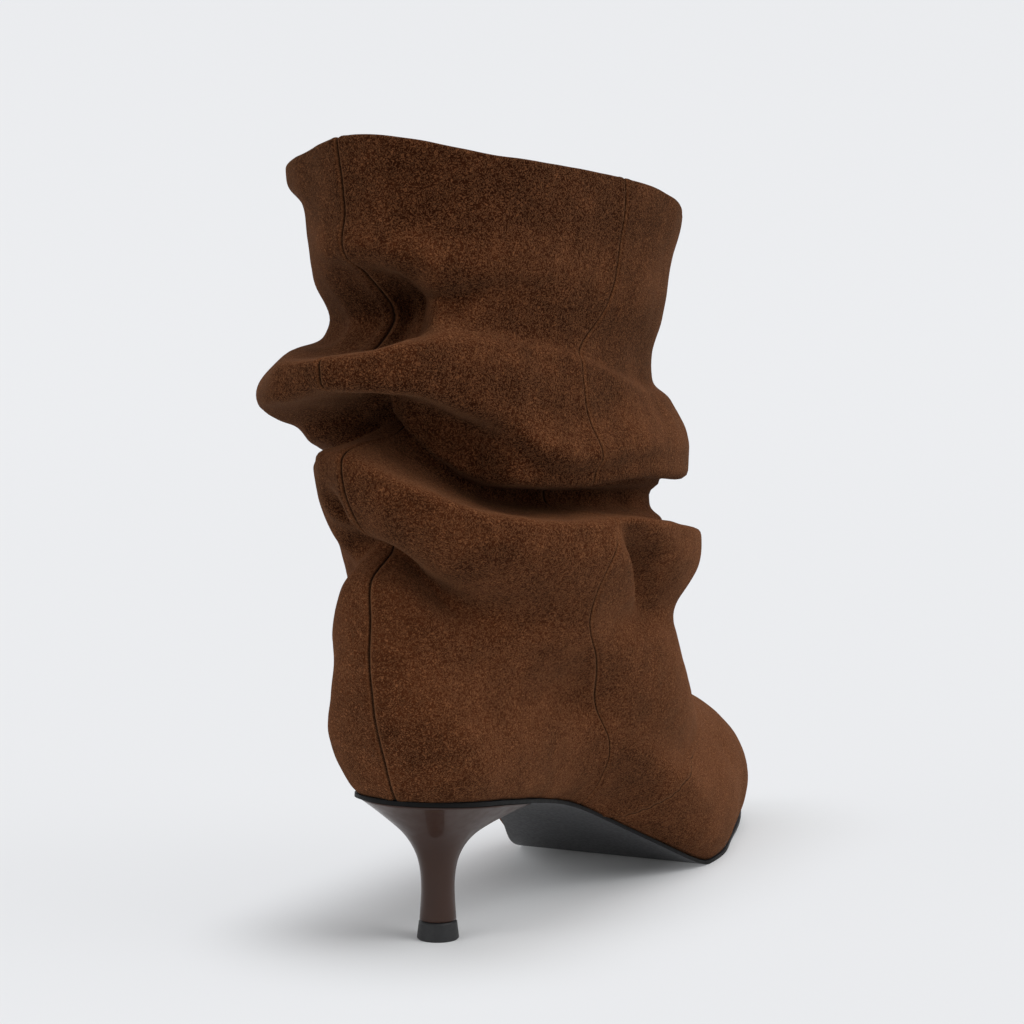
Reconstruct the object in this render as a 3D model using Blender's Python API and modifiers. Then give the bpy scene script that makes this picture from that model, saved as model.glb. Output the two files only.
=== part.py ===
# A slouch boot for the right foot: a soft suede upper that has sunk into rolls, on a thin sole
# with a slender turned heel. Metres, +Z up, toe along +Y, wearer's right along +X.
# The origin is the middle of the heel tip's ground face.
import math

import bmesh
import bpy
import numpy as np

# Sole and heel
SOLE_LENGTH = 0.256
BALL_WIDTH = 0.071
HEEL_HEIGHT = 0.0465
TOE_SPRING = 0.0075
SOLE_THICKNESS = 0.0018
HEEL_SETBACK = 0.028
HEEL_TOP_LENGTH = 0.057
STEM_WIDTH = 0.0104
TIP_WIDTH = 0.0130
TIP_HEIGHT = 0.0058
INSOLE_THICKNESS = 0.0015

# Upper
BOOT_HEIGHT = 0.244
COLLAR_DROP = 0.034
SHAFT_WIDTH = 0.100
SHAFT_DEPTH = 0.153
SHAFT_BACKSET = 0.015
ANKLE_HEIGHT = 0.100
SHAFT_TWIST = 12.0
WALL = 0.0018
GAP = 0.0003
INSOLE_CLEARANCE = 0.0014
FEATHER_INSET = 0.0008

# Mesh fineness
AROUND = 46
SOLE_ROWS = 36
SOLE_COLUMNS = 6
HEEL_SIDES = 28

# The flat spot under the ball, as shares of the sole's length
BALL_BACK = 0.63
BALL_FRONT = 0.70
SPRING_CURVE = 1.8

# station: share of the sole's length; lateral, medial: half widths as shares of half the ball's
# width; lift: share of the heel's height.
SOLE = (
    (0.000, 0.000, 0.000, 1.000),
    (0.008, 0.265, 0.265, 0.998),
    (0.027, 0.465, 0.465, 0.990),
    (0.055, 0.597, 0.597, 0.976),
    (0.094, 0.648, 0.648, 0.952),
    (0.156, 0.676, 0.662, 0.903),
    (0.234, 0.634, 0.563, 0.826),
    (0.332, 0.592, 0.465, 0.690),
    (0.430, 0.676, 0.563, 0.470),
    (0.527, 0.873, 0.817, 0.215),
    (0.605, 0.970, 0.990, 0.035),
    (0.656, 0.975, 1.010, 0.000),
    (0.723, 0.900, 0.920, 0.000),
    (0.781, 0.780, 0.790, 0.000),
    (0.840, 0.676, 0.634, 0.000),
    (0.891, 0.560, 0.525, 0.000),
    (0.938, 0.420, 0.395, 0.000),
    (0.969, 0.300, 0.284, 0.000),
    (0.990, 0.168, 0.160, 0.000),
    (1.000, 0.000, 0.000, 0.000),
)

# Foot rings from the feather edge up to the ankle. back: how far the ring stands behind the sole;
# front: its foremost station; both as shares of the sole's length. shaft: how much of the shaft's
# plan it has. rise: share of the way up to the ankle at back, side and front. The last four
# columns widen it at the seat, the waist, the ball and the toe.
FOOT = (
    (0.000, 1.000, 0.00, 0.000, 0.000, 0.000, 0.00, 0.00, 0.00, 0.00),
    (0.012, 1.005, 0.00, 0.085, 0.060, 0.065, 0.12, 0.20, 0.06, 0.06),
    (0.027, 0.984, 0.03, 0.235, 0.160, 0.185, 0.23, 0.40, 0.10, 0.14),
    (0.041, 0.926, 0.12, 0.400, 0.300, 0.330, 0.26, 0.50, 0.10, 0.16),
    (0.051, 0.836, 0.28, 0.560, 0.440, 0.450, 0.18, 0.40, 0.04, 0.06),
    (0.057, 0.734, 0.48, 0.700, 0.580, 0.550, 0.10, 0.20, 0.09, 0.04),
    (0.060, 0.648, 0.68, 0.820, 0.730, 0.680, 0.04, 0.10, 0.12, 0.04),
    (0.061, 0.582, 0.86, 0.910, 0.870, 0.815, 0.00, 0.03, 0.07, 0.02),
)
WIDEN_AT = (0.0, 0.10, 0.19, 0.31, 0.43, 0.5)
SIDE_AT = 0.22

# Shaft rings from the ankle to the collar. level: share of the way up; wide, deep: shares of the
# shaft's width and depth; egg: how much narrower the back is than the front.
SHAFT = (
    (0.00, 0.92, 1.00, 0.24),
    (0.17, 0.93, 0.97, 0.18),
    (0.35, 0.92, 0.97, 0.12),
    (0.53, 0.93, 0.98, 0.10),
    (0.70, 0.96, 0.97, 0.10),
    (0.86, 1.00, 0.99, 0.08),
    (1.00, 1.04, 1.02, 0.07),
)

# azimuth from the back, and the share of the collar's drop there
COLLAR = (
    (0, 0.00), (35, 0.14), (66, 0.28), (80, 0.35), (99, 0.46), (120, 0.66), (150, 0.90), (180, 1.00),
)

# Each roll (out above zero) and crease (out below zero) runs round the shaft through its knots.
# Its first number is how far its skin sinks for each length that it is pushed out, its second how
# blunt its profile is. azimuth: degrees from the back toward the wearer's right; height and
# spread: shares of the boot's height; out: share of half the shaft's width.
FOLDS = {
    "collar lobe": (0.2, 3.0, (
        (-100, 0.950, 0.00, 0.034), (-62, 0.955, 0.09, 0.030), (-25, 0.960, 0.00, 0.034),
    )),
    "collar flare": (0.0, 2.0, (
        (70, 0.930, 0.00, 0.050), (115, 0.910, 0.06, 0.050), (160, 0.890, 0.03, 0.050),
        (210, 0.900, 0.00, 0.050),
    )),
    "tube ridge": (0.2, 3.0, (
        (-25, 0.845, 0.00, 0.034), (4, 0.858, 0.10, 0.024), (20, 0.850, 0.22, 0.030),
        (34, 0.850, 0.16, 0.030), (50, 0.850, 0.07, 0.034),
        (75, 0.846, 0.00, 0.034), (200, 0.850, 0.00, 0.034),
    )),
    "pocket": (-0.3, 2.0, (
        (-75, 0.765, -0.10, 0.030), (-58, 0.768, -0.12, 0.030), (-36, 0.777, -0.36, 0.030),
        (-8, 0.790, -0.60, 0.032), (4, 0.796, -0.64, 0.034), (11, 0.802, -0.58, 0.032),
        (19, 0.808, -0.10, 0.028), (36, 0.790, -0.06, 0.030), (62, 0.770, -0.04, 0.040),
        (100, 0.720, -0.08, 0.050), (180, 0.720, -0.08, 0.050), (240, 0.750, -0.06, 0.050),
    )),
    "middle roll": (0.0, 3.0, (
        (-150, 0.655, 0.14, 0.055), (-105, 0.660, 0.26, 0.052), (-62, 0.672, 0.37, 0.050),
        (-22, 0.712, 0.40, 0.054), (4, 0.722, 0.37, 0.054), (16, 0.742, 0.33, 0.056),
        (34, 0.722, 0.26, 0.056),
        (58, 0.680, 0.16, 0.064), (85, 0.680, 0.06, 0.060), (110, 0.680, 0.00, 0.060),
    )),
    "front bulge": (0.5, 3.0, (
        (22, 0.640, 0.00, 0.030), (42, 0.622, 0.08, 0.032), (62, 0.604, 0.12, 0.036),
        (90, 0.608, 0.17, 0.040), (118, 0.600, 0.19, 0.046), (150, 0.602, 0.19, 0.048),
        (185, 0.600, 0.18, 0.048), (225, 0.615, 0.14, 0.048), (255, 0.640, 0.00, 0.045),
    )),
    "main crease": (0.1, 3.5, (
        (-60, 0.590, -0.16, 0.026), (-13, 0.680, -0.48, 0.030), (-3, 0.668, -0.50, 0.034),
        (12, 0.654, -0.52, 0.041), (26, 0.632, -0.52, 0.043), (38, 0.613, -0.50, 0.044),
        (46, 0.596, -0.46, 0.038), (55, 0.576, -0.42, 0.026), (66, 0.561, -0.36, 0.019),
        (79, 0.557, -0.28, 0.018), (95, 0.551, -0.17, 0.017), (120, 0.538, -0.07, 0.018),
        (180, 0.535, -0.12, 0.022), (240, 0.570, -0.14, 0.024),
    )),
    "lower roll": (-0.15, 3.5, (
        (-60, 0.548, -0.12, 0.036), (-15, 0.574, 0.20, 0.048), (12, 0.566, 0.30, 0.052),
        (32, 0.534, 0.33, 0.056), (52, 0.500, 0.31, 0.058), (74, 0.478, 0.29, 0.058),
        (96, 0.472, 0.25, 0.054), (120, 0.468, 0.24, 0.052), (150, 0.470, 0.24, 0.050),
        (185, 0.475, 0.22, 0.048), (235, 0.515, 0.14, 0.046),
    )),
    "lower crease": (0.1, 2.0, (
        (-60, 0.440, -0.10, 0.075), (-14, 0.502, -0.26, 0.022), (8, 0.502, -0.22, 0.018),
        (32, 0.468, -0.20, 0.018), (50, 0.430, -0.12, 0.020), (75, 0.396, -0.02, 0.022),
        (100, 0.396, -0.06, 0.022), (120, 0.392, -0.03, 0.022), (180, 0.388, -0.10, 0.024),
        (240, 0.435, -0.12, 0.028),
    )),
    "side dent": (0.2, 2.0, (
        (45, 0.300, 0.00, 0.060), (70, 0.310, -0.08, 0.060), (92, 0.330, 0.00, 0.060),
    )),
}

# Single soft pushes. azimuth and height: the middle, in degrees and as a share of the boot's
# height; out: share of half the shaft's width; wide: degrees; tall: share of the height; climb:
# share of the height that the dent rises for each degree.
DENTS = (
    (-15, 0.552, -0.20, 5.0, 0.016, 0.0000),
    (92, 0.456, -0.26, 12.0, 0.020, -0.0034),
    (72, 0.400, 0.08, 18.0, 0.060, 0.0000),
    (-32, 0.500, 0.08, 8.0, 0.030, 0.0000),
)

# The upper's mesh rows run along these folds, with so many rows up to each.
ROW_GUIDES = (
    ("lower crease", 15), ("lower roll", 6), ("main crease", 7), ("middle roll", 8),
    ("pocket", 6), ("tube ridge", 4), ("collar", 4),
)

# Heel sections from the top down. height: share of the way from the tip up to the sole; size:
# share of the way from the stem out to the top's outline; square: how straight the front is.
HEEL = (
    (1.00, 1.000, 5.0),
    (0.95, 0.860, 4.5),
    (0.89, 0.700, 4.0),
    (0.81, 0.500, 3.2),
    (0.73, 0.320, 2.6),
    (0.64, 0.180, 2.2),
    (0.54, 0.080, 2.0),
    (0.42, 0.020, 2.0),
    (0.22, 0.000, 2.0),
    (0.08, 0.015, 2.0),
    (0.00, 0.025, 2.0),
)

COLOURS = {
    "upper": ((0.098, 0.037, 0.013, 1.0), 0.92),
    "outsole": ((0.018, 0.018, 0.020, 1.0), 0.55),
    "insole": ((0.090, 0.055, 0.035, 1.0), 0.75),
    "heel_block": ((0.095, 0.058, 0.045, 1.0), 0.12),
    "top_piece": ((0.012, 0.012, 0.013, 1.0), 0.60),
}


def spline(knots, values, at, period=0.0):
    """Smooth curve through the values at the knots, closed where a period is given."""
    knots = np.asarray(knots, float)
    values = np.asarray(values, float)
    if period:
        at = (np.asarray(at, float) - knots[0]) % period + knots[0]
        knots = np.concatenate([knots[-4:] - period, knots, knots[:4] + period])
        values = np.concatenate([values[-4:], values, values[:4]])
    count = len(knots)
    step = np.diff(knots)
    slope = np.diff(values, axis=0) / step.reshape(-1, *[1] * (values.ndim - 1))
    matrix = np.eye(count)
    right = np.zeros_like(values)
    for i in range(1, count - 1):
        matrix[i, i - 1:i + 2] = step[i - 1], 2 * (step[i - 1] + step[i]), step[i]
        right[i] = 6 * (slope[i] - slope[i - 1])
    bend = np.linalg.solve(matrix, right.reshape(count, -1)).reshape(right.shape)
    at = np.asarray(at, float)
    i = np.clip(np.searchsorted(knots, at, side="right") - 1, 0, count - 2)
    shape = at.shape + (1,) * (values.ndim - 1)
    h = step[i].reshape(shape)
    b = (at - knots[i]).reshape(shape) / h
    a = 1 - b
    curve = a * values[i] + b * values[i + 1]
    return curve + ((a**3 - a) * bend[i] + (b**3 - b) * bend[i + 1]) * h**2 / 6


def eased(knots, values, at, period):
    """Values that ease from knot to knot round a closed path, without overshoot."""
    knots = np.asarray(knots, float)
    values = np.asarray(values, float)
    at = (np.asarray(at, float) - knots[0]) % period + knots[0]
    knots = np.append(knots, knots[0] + period)
    values = np.append(values, values[0])
    i = np.clip(np.searchsorted(knots, at, side="right") - 1, 0, len(knots) - 2)
    t = (at - knots[i]) / (knots[i + 1] - knots[i])
    t = t * t * (3 - 2 * t)
    return values[i] * (1 - t) + values[i + 1] * t


def mirrored(knots, values, at):
    """Curve over the half loop from back to toe, the same on both sides."""
    half = np.minimum(at % 1.0, 1.0 - at % 1.0)
    knots = np.asarray(knots, float)
    values = np.asarray(values, float)
    wrapped = np.concatenate([knots, 1.0 - knots[-2:0:-1]])
    return spline(wrapped, np.concatenate([values, values[-2:0:-1]]), half, period=1.0)


def sole_height(station):
    """Height of the sole's underside at a share of its length."""
    rows = [row for row in SOLE if row[0] <= BALL_BACK] + [(BALL_BACK, 0, 0, 0), (BALL_FRONT, 0, 0, 0)]
    lift = spline([row[0] for row in rows], [row[3] for row in rows], np.minimum(station, BALL_FRONT))
    lift = np.where(station > BALL_BACK, 0.0, np.maximum(lift, 0.0))
    ahead = np.clip((station - BALL_FRONT) / (1 - BALL_FRONT), 0, 1)
    return lift * HEEL_HEIGHT + TOE_SPRING * ahead**SPRING_CURVE


def raised(x, station, height):
    """Places a point a height above the sole's underside, square to it."""
    reach = 0.002
    fall = (sole_height(station + reach) - sole_height(station - reach)) / (2 * reach * SOLE_LENGTH)
    length = np.sqrt(1 + fall**2)
    y = station * SOLE_LENGTH - HEEL_SETBACK - height * fall / length
    z = sole_height(station) + height / length
    return np.stack([x, y, z], axis=-1)


def outline(at):
    """Plan of the sole round its edge: 0 at the back, 0.5 at the toe; half widths and stations."""
    half = BALL_WIDTH / 2
    lateral = [(row[1] * half, row[0] * SOLE_LENGTH) for row in SOLE]
    medial = [(-row[2] * half, row[0] * SOLE_LENGTH) for row in SOLE[-2:0:-1]]
    points = np.array(lateral + medial + lateral[:1])
    chord = np.concatenate([[0], np.cumsum(np.hypot(*np.diff(points, axis=0).T))])
    toe = chord[len(SOLE) - 1]
    knots = np.where(chord <= toe, chord / toe / 2, 0.5 + (chord - toe) / (chord[-1] - toe) / 2)
    return spline(knots[:-1], points[:-1], at, period=1.0)


def inset_outline(at, inset):
    """The sole's outline moved inward by a distance."""
    reach = 0.002
    along = outline(at + reach) - outline(at - reach)
    along /= np.linalg.norm(along, axis=-1, keepdims=True)
    inward = np.stack([-along[..., 1], along[..., 0]], axis=-1)
    points = outline(at) + inward * inset
    return points[..., 0], points[..., 1] / SOLE_LENGTH


def half_width(station, inset, column):
    """Half width of the inset outline at a station, on the lateral (1) or medial (2) side."""
    turn = np.linspace(0, 0.5, 400) if column == 1 else np.linspace(1, 0.5, 400)
    x, s = inset_outline(turn, inset)
    order = np.argsort(s)
    return np.interp(station, s[order], np.abs(x[order]))


def collar_height(azimuth):
    """Height of the collar's edge: highest at the back, lowest at the front."""
    turns, shares = np.array(COLLAR).T
    return BOOT_HEIGHT - COLLAR_DROP * mirrored(turns / 360, shares, np.asarray(azimuth) / 360)


def shaft_ring(at, level, wide, deep, egg):
    """One ring of the unfolded shaft."""
    azimuth = 360 * at - SHAFT_TWIST * level
    turn = np.radians(azimuth)
    depth = SHAFT_DEPTH * deep / 2
    middle = SHAFT_DEPTH / 2 - HEEL_SETBACK - SHAFT_BACKSET
    x = SHAFT_WIDTH * wide / 2 * np.sin(turn) * (1 - egg * np.cos(turn))
    y = middle - depth * np.cos(turn)
    z = ANKLE_HEIGHT + level * (collar_height(azimuth) - ANKLE_HEIGHT)
    return np.stack([x, y, z], axis=-1)


def foot_ring(at, back, front, shaft, rise_back, rise_side, rise_front, *widen):
    """One ring of the foot, between the feather edge and the ankle."""
    x, station = inset_outline(at, FEATHER_INSET)
    feather = raised(x, station, SOLE_THICKNESS + GAP)
    ankle = shaft_ring(at, *SHAFT[0])
    rise = mirrored((0.0, SIDE_AT, 0.5), (rise_back, rise_side, rise_front), at)
    if rise_front == 0:
        return feather
    wider = 1 + mirrored(WIDEN_AT, (widen[0],) + widen + (widen[3],), at)
    turn = 2 * np.pi * at
    along = station * (1 - shaft) + (1 - np.cos(turn)) / 2 * shaft
    start = -HEEL_SETBACK - back * SOLE_LENGTH
    end = front * SOLE_LENGTH - HEEL_SETBACK
    plan_x = (x * (1 - shaft) + ankle[..., 0] * shaft) * wider
    plan_y = start + (end - start) * along
    z = feather[..., 2] + rise * (ankle[..., 2] - feather[..., 2])
    return np.stack([plan_x, plan_y, z], axis=-1)


def fold_level(name, azimuth):
    """Height on the unfolded shaft of the middle of a fold."""
    sink, _, knots = FOLDS[name]
    turns, levels, outs, _ = np.array(knots).T
    level = spline(turns, levels, azimuth, period=360.0) * BOOT_HEIGHT
    return level + sink * eased(turns, outs, azimuth, 360.0) * SHAFT_WIDTH / 2


def folded(points, azimuth):
    """Pushes the shaft out into its rolls and in along its creases."""
    height = points[..., 2]
    push = np.zeros_like(azimuth)
    fall = np.zeros_like(azimuth)
    for name, (sink, blunt, knots) in FOLDS.items():
        turns, _, outs, spreads = np.array(knots).T
        out = eased(turns, outs, azimuth, 360.0) * SHAFT_WIDTH / 2
        spread = eased(turns, spreads, azimuth, 360.0) * BOOT_HEIGHT
        away = (height - fold_level(name, azimuth)) / spread
        part = out * np.exp(-np.abs(away)**blunt)
        push += part
        fall += sink * part
    for turn, level, out, wide, tall, climb in DENTS:
        aside = (azimuth - turn + 180) % 360 - 180
        above = height / BOOT_HEIGHT - level - climb * aside
        push += out * SHAFT_WIDTH / 2 * np.exp(-(aside / wide)**2 - (above / tall)**2)
    turn = np.radians(azimuth)
    shift = np.stack([push * np.sin(turn), -push * np.cos(turn), -fall], axis=-1)
    return points + shift


def base_surface(at, rows):
    """The unfolded upper: row 0 is the feather edge, 1 the ankle and 2 the collar."""
    rings = [foot_ring(at, *row) for row in FOOT] + [shaft_ring(at, *row) for row in SHAFT]
    rings = np.stack(rings)
    foot = np.linspace(0, 1, len(FOOT) + 1)[:-1]
    knots = np.concatenate([foot, 1 + np.array([row[0] for row in SHAFT])])
    columns = [spline(knots, rings[:, i], rows[:, i]) for i in range(len(at))]
    azimuth = 360 * at - SHAFT_TWIST * np.clip(rows - 1, 0, 1)
    return np.stack(columns, axis=1), azimuth


def guided_rows(at):
    """Row values for each column, so that the mesh's rows run along the folds."""
    fine = np.tile(np.linspace(0, 2, 500)[:, None], (1, len(at)))
    points, azimuth = base_surface(at, fine)
    height = points[..., 2]
    marks = [np.zeros(len(at))]
    for name, count in ROW_GUIDES:
        if name == "collar":
            mark = np.full(len(at), 2.0)
        else:
            above = height - fold_level(name, azimuth)
            mark = np.array([np.interp(0, above[:, i], fine[:, i]) for i in range(len(at))])
        shares = np.linspace(0, 1, count + 1)[1:, None]
        crowded = np.sin(shares * np.pi / 2)**(1 if len(marks) == 1 else 2)
        marks.extend(marks[-1] * (1 - crowded) + mark * crowded)
    return np.stack(marks)


def upper_surface(at, rows):
    """The upper's outer face, with its folds."""
    return folded(*base_surface(at, rows))


def new_object(name, mesh_data, collection):
    """Turns a bmesh into a named object with its own material."""
    mesh = bpy.data.meshes.new(name)
    mesh_data.to_mesh(mesh)
    mesh_data.free()
    mesh.shade_smooth()
    piece = bpy.data.objects.new(name, mesh)
    collection.objects.link(piece)
    colour, roughness = COLOURS[name]
    material = bpy.data.materials.new(name)
    material.use_nodes = True
    shader = material.node_tree.nodes["Principled BSDF"]
    shader.inputs["Base Color"].default_value = colour
    shader.inputs["Roughness"].default_value = roughness
    shader.inputs["Metallic"].default_value = 0.0
    mesh.materials.append(material)
    return piece


def sheet(points, closed=False):
    """A grid bent to rows of points, its first and last columns merged where it is closed."""
    rows, columns = points.shape[:2]
    if closed:
        points = np.concatenate([points, points[:, :1]], axis=1)
        columns += 1
    grid = bmesh.new()
    bmesh.ops.create_grid(grid, x_segments=columns - 1, y_segments=rows - 1, size=1.0)
    grid.verts.ensure_lookup_table()
    for vertex, place in zip(grid.verts, points.reshape(-1, 3)):
        vertex.co = place
    bmesh.ops.remove_doubles(grid, verts=grid.verts, dist=0.00001)
    return grid


def thicken(piece, thickness, offset):
    """Gives an open surface its wall."""
    wall = piece.modifiers.new("wall", "SOLIDIFY")
    wall.thickness = thickness
    wall.offset = offset
    wall.use_rim = True


def make_upper(collection):
    at = np.arange(AROUND) / AROUND
    points = upper_surface(at, guided_rows(at))
    piece = new_object("upper", sheet(points, closed=True), collection)
    thicken(piece, WALL, -1.0)
    return piece


def sole_sheet(inset, height):
    """A sheet a height above the sole's underside, inside its outline."""
    first = inset / SOLE_LENGTH
    turn = np.linspace(0, np.pi, SOLE_ROWS + 1)
    station = first + (1 - 2 * first) * (1 - np.cos(turn)) / 2
    flat = np.array([BALL_BACK, BALL_FRONT])
    near = np.abs(station[:, None] - flat).min(axis=1) < 0.008
    station = np.sort(np.concatenate([station[~near], flat]))
    across = np.sin(np.linspace(-1, 1, SOLE_COLUMNS + 1) * np.pi / 2)
    right = half_width(station, inset, 1)
    left = half_width(station, inset, 2)
    right[[0, -1]] = 0
    left[[0, -1]] = 0
    rows = []
    for share in across:
        x = np.where(share > 0, right, left) * share
        rows.append(raised(x, station, height))
    return sheet(np.stack(rows, axis=1))


def make_outsole(collection):
    piece = new_object("outsole", sole_sheet(0.0, 0.0), collection)
    thicken(piece, SOLE_THICKNESS, 1.0)
    return piece


def make_insole(collection):
    inset = FEATHER_INSET + WALL + INSOLE_CLEARANCE
    piece = new_object("insole", sole_sheet(inset, SOLE_THICKNESS + GAP), collection)
    thicken(piece, INSOLE_THICKNESS, 1.0)
    return piece


def heel_plan(turn, square):
    """The heel's top outline under the sole: round at the back, straight at the front."""
    side = np.sign(np.sin(turn))
    ahead = np.cos(turn) < 0
    power = np.where(ahead, 2 / square, 1.0)
    x = side * np.abs(np.sin(turn))**power
    y = -np.sign(np.cos(turn)) * np.abs(np.cos(turn))**power
    return x, y


def make_heel(collection):
    """Lofts the heel from the seat's outline down to its round stem."""
    turn = np.arange(HEEL_SIDES) / HEEL_SIDES * 2 * np.pi
    margin = 0.0006
    half_length = HEEL_TOP_LENGTH / 2
    rows = []
    for height, size, square in HEEL:
        x, y = heel_plan(turn, square)
        station = (half_length + y * (half_length - margin)) / SOLE_LENGTH
        widest = half_width(np.clip(station, 0, 1), margin, 1)
        seat = BALL_WIDTH / 2 * SOLE[5][1] - margin
        top_x = x * np.where(y < 0, seat, widest)
        top_y = y * (half_length - margin) + half_length - HEEL_SETBACK
        stem_x = np.sin(turn) * STEM_WIDTH / 2
        stem_y = -np.cos(turn) * STEM_WIDTH / 2
        plan_x = stem_x + (top_x - stem_x) * size
        plan_y = stem_y + (top_y - stem_y) * size
        top = raised(plan_x, (plan_y + HEEL_SETBACK) / SOLE_LENGTH, -GAP)
        foot = TIP_HEIGHT + GAP
        z = foot + (top[..., 2] - foot) * height
        rows.append(np.stack([plan_x, plan_y, z], axis=-1))
    top, foot = rows[0], rows[-1]
    inner = []
    for share in (0.0, 0.5):
        middle = top.mean(axis=0)
        plan = middle[:2] + (top[:, :2] - middle[:2]) * share
        inner.append(raised(plan[:, 0], (plan[:, 1] + HEEL_SETBACK) / SOLE_LENGTH, -GAP))
    rows = inner + rows + [np.broadcast_to(foot.mean(axis=0), foot.shape)]
    return new_object("heel_block", sheet(np.stack(rows[::-1]), closed=True), collection)


def make_top_piece(collection):
    """The small wear piece under the heel's stem."""
    cone = bmesh.new()
    bmesh.ops.create_cone(cone, cap_ends=True, segments=32, radius1=TIP_WIDTH / 2,
                          radius2=STEM_WIDTH / 2 + 0.0006, depth=TIP_HEIGHT)
    bmesh.ops.translate(cone, verts=cone.verts, vec=(0, 0, TIP_HEIGHT / 2))
    piece = new_object("top_piece", cone, collection)
    piece.data.set_sharp_from_angle(angle=math.radians(40))
    return piece


def main():
    for piece in list(bpy.data.objects):
        bpy.data.objects.remove(piece, do_unlink=True)
    collection = bpy.data.collections.new("slouch_boot")
    bpy.context.scene.collection.children.link(collection)
    make_upper(collection)
    make_outsole(collection)
    make_insole(collection)
    make_heel(collection)
    make_top_piece(collection)


main()
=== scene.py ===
# %% [markdown]
# # A slouch boot in brown suede
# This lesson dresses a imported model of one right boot: a soft shaft that has sunk into rolls, a
# thin sole and a slender lacquered heel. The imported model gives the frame. Every piece made here
# stands exactly where a plain solid of the frame stands, and then takes that solid's place.

import bmesh
import bpy
import numpy as np
from mathutils import Matrix, Vector, noise


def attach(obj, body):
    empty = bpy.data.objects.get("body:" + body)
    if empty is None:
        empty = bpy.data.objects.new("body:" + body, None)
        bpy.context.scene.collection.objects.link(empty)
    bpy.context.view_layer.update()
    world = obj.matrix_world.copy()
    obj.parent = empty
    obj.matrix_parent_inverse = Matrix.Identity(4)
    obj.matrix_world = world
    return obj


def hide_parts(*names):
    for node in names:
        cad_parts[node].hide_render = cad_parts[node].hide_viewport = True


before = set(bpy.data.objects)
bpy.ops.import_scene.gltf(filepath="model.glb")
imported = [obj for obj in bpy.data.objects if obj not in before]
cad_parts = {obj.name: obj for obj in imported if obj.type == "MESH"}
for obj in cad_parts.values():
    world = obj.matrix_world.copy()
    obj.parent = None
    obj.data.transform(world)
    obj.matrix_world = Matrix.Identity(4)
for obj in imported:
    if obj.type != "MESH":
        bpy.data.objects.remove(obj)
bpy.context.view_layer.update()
print("solids:", sorted(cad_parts))

# %% [markdown]
# ## Camera
# The photograph was taken from behind and to the right, at about the height of the collar, with a
# long lens. The camera comes first, so that every later step can be compared with the photograph.

# %% Camera
VIEW_AZIMUTH = np.radians(27.5)
VIEW_DISTANCE = 0.930
EYE_HEIGHT = 0.228
AIM_SIDE = 0.02279
AIM_HEIGHT = 0.13179
FOCAL_PIXELS = 3080.0

camera_data = bpy.data.cameras.new("camera")
camera = bpy.data.objects.new("camera", camera_data)
bpy.context.scene.collection.objects.link(camera)
camera.location = (VIEW_DISTANCE * np.sin(VIEW_AZIMUTH), -VIEW_DISTANCE * np.cos(VIEW_AZIMUTH),
                   EYE_HEIGHT)
aim = Vector((np.cos(VIEW_AZIMUTH) * AIM_SIDE, np.sin(VIEW_AZIMUTH) * AIM_SIDE, AIM_HEIGHT))
camera.rotation_euler = (aim - camera.location).to_track_quat("-Z", "Y").to_euler()
camera_data.sensor_width = 36.0
camera_data.lens = FOCAL_PIXELS / 1024 * camera_data.sensor_width
bpy.context.scene.camera = camera
print("lens", round(camera_data.lens, 1), "mm")

# %% [markdown]
# ## Smooth curves through a few readings
# A boot has hardly a straight line. Its sections are given by a few readings each, and a natural
# cubic spline draws the smooth curve through them, as a draughtsman's batten does. The fold sizes
# ease from reading to reading instead, because an overshoot there would look like a lump.

# %% Curve helpers
def spline(knots, values, at, period=0.0):
    """Smooth curve through the values at the knots, closed where a period is given."""
    knots = np.asarray(knots, float)
    values = np.asarray(values, float)
    if period:
        at = (np.asarray(at, float) - knots[0]) % period + knots[0]
        knots = np.concatenate([knots[-4:] - period, knots, knots[:4] + period])
        values = np.concatenate([values[-4:], values, values[:4]])
    count = len(knots)
    step = np.diff(knots)
    slope = np.diff(values, axis=0) / step.reshape(-1, *[1] * (values.ndim - 1))
    matrix = np.eye(count)
    right = np.zeros_like(values)
    for i in range(1, count - 1):
        matrix[i, i - 1:i + 2] = step[i - 1], 2 * (step[i - 1] + step[i]), step[i]
        right[i] = 6 * (slope[i] - slope[i - 1])
    bend = np.linalg.solve(matrix, right.reshape(count, -1)).reshape(right.shape)
    at = np.asarray(at, float)
    i = np.clip(np.searchsorted(knots, at, side="right") - 1, 0, count - 2)
    shape = at.shape + (1,) * (values.ndim - 1)
    h = step[i].reshape(shape)
    b = (at - knots[i]).reshape(shape) / h
    a = 1 - b
    curve = a * values[i] + b * values[i + 1]
    return curve + ((a**3 - a) * bend[i] + (b**3 - b) * bend[i + 1]) * h**2 / 6


def eased(knots, values, at, period):
    """Values that ease from knot to knot round a closed path, without overshoot."""
    knots = np.asarray(knots, float)
    values = np.asarray(values, float)
    at = (np.asarray(at, float) - knots[0]) % period + knots[0]
    knots = np.append(knots, knots[0] + period)
    values = np.append(values, values[0])
    i = np.clip(np.searchsorted(knots, at, side="right") - 1, 0, len(knots) - 2)
    t = (at - knots[i]) / (knots[i + 1] - knots[i])
    t = t * t * (3 - 2 * t)
    return values[i] * (1 - t) + values[i + 1] * t


def mirrored(knots, values, at):
    """Curve over the half loop from back to toe, the same on both sides."""
    half = np.minimum(at % 1.0, 1.0 - at % 1.0)
    wrapped = np.concatenate([knots, 1.0 - np.array(knots)[-2:0:-1]])
    return spline(wrapped, np.concatenate([values, np.array(values)[-2:0:-1]]), half, period=1.0)


# %% [markdown]
# ## The sole's plan and profile
# Everything is built up from the sole, as on a last: its outline seen from below, and the curve
# that it follows from the heel seat down through the arch to the ball and up to the toe.

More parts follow.
